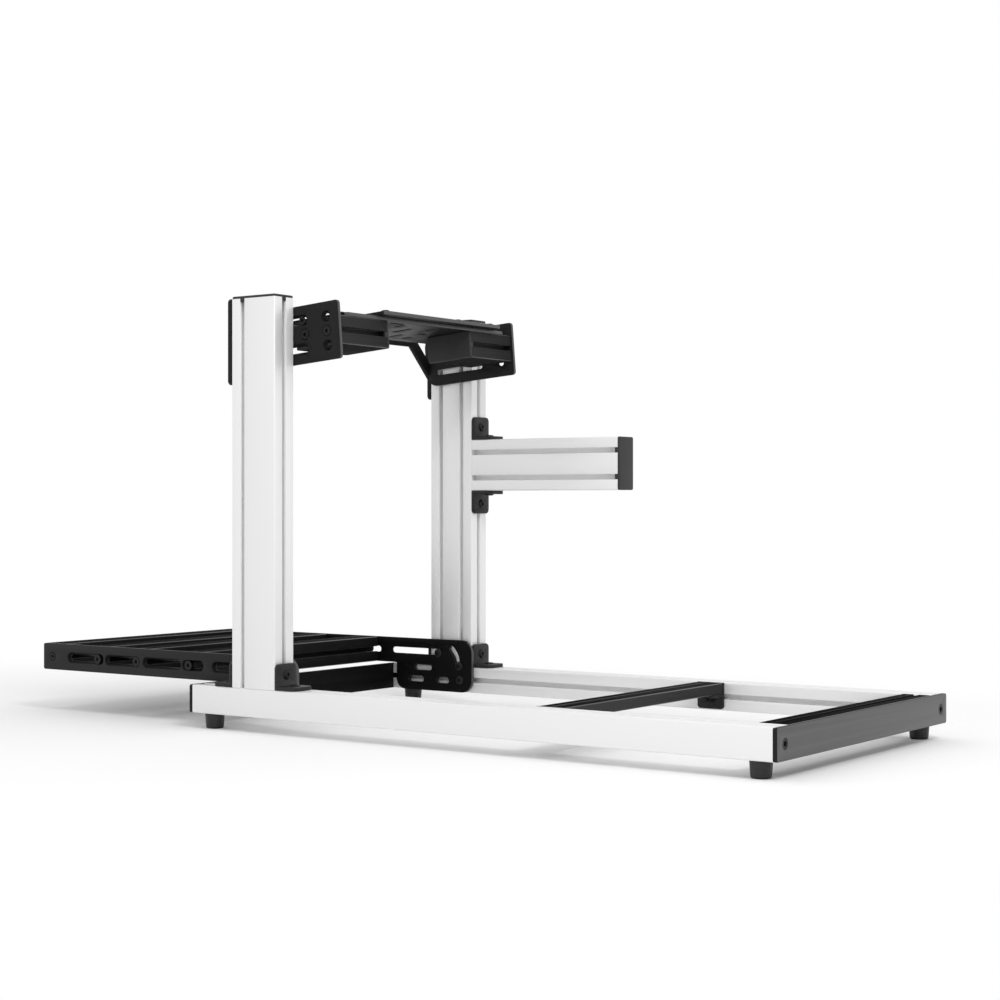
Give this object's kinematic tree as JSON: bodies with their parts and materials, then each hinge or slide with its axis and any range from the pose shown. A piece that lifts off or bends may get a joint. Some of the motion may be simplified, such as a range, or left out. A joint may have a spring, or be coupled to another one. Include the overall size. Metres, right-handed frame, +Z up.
{
  "type": "sim racing cockpit frame",
  "caption": "Open sim racing cockpit frame of slotted aluminium profile, with a pedal tray, a tilted wheel deck between posts, a shifter arm and a seat crossbar.",
  "frame": {"origin": "on the floor, in the middle of the cockpit's length and width", "axes": "+X from the pedals to the seat end, +Y to the driver's right, +Z up"},
  "size_m": [1.283, 0.5, 0.6095],
  "materials": {
    "silver_profile": "clear anodised, satin",
    "black_profile": "black anodised, satin",
    "black_plate": "black powder coat, fine satin texture",
    "bracket": "black powder coat",
    "end_cap": "moulded, matt",
    "rubber_foot": "matt"
  },
  "bodies": {
    "root": {"left_base_rail": "silver_profile", "right_base_rail": "silver_profile", "left_post": "silver_profile", "right_post": "silver_profile", "shifter_arm": "silver_profile", "rear_cross_beam": "black_profile", "seat_crossbar": "black_profile", "wheel_beam_left": "black_profile", "wheel_beam_right": "black_profile", "pedal_beam_front": "black_profile", "pedal_beam_second": "black_profile", "pedal_beam_third": "black_profile", "pedal_beam_rear": "black_profile", "front_cross_plate": "black_plate", "rear_cross_plate": "black_plate", "wheel_side_plate_left": "black_plate", "wheel_side_plate_right": "black_plate", "wheel_deck_plate": "black_plate", "wheel_mount_plate": "black_plate", "wheel_front_yoke": "black_plate", "pedal_side_plate_left": "black_plate", "pedal_side_plate_right": "black_plate", "left_post_bracket_front": "bracket", "left_post_bracket_rear": "bracket", "right_post_bracket_front": "bracket", "right_post_bracket_rear": "bracket", "shifter_bracket_upper": "bracket", "shifter_bracket_lower": "bracket", "seat_bracket_left": "bracket", "seat_bracket_right": "bracket", "left_post_cap": "end_cap", "right_post_cap": "end_cap", "shifter_arm_cap": "end_cap", "wheel_beam_cap_left": "end_cap", "wheel_beam_cap_right": "end_cap", "foot_front_left": "rubber_foot", "foot_front_right": "rubber_foot", "foot_rear_left": "rubber_foot", "foot_rear_right": "rubber_foot"}
  },
  "joints": []
}
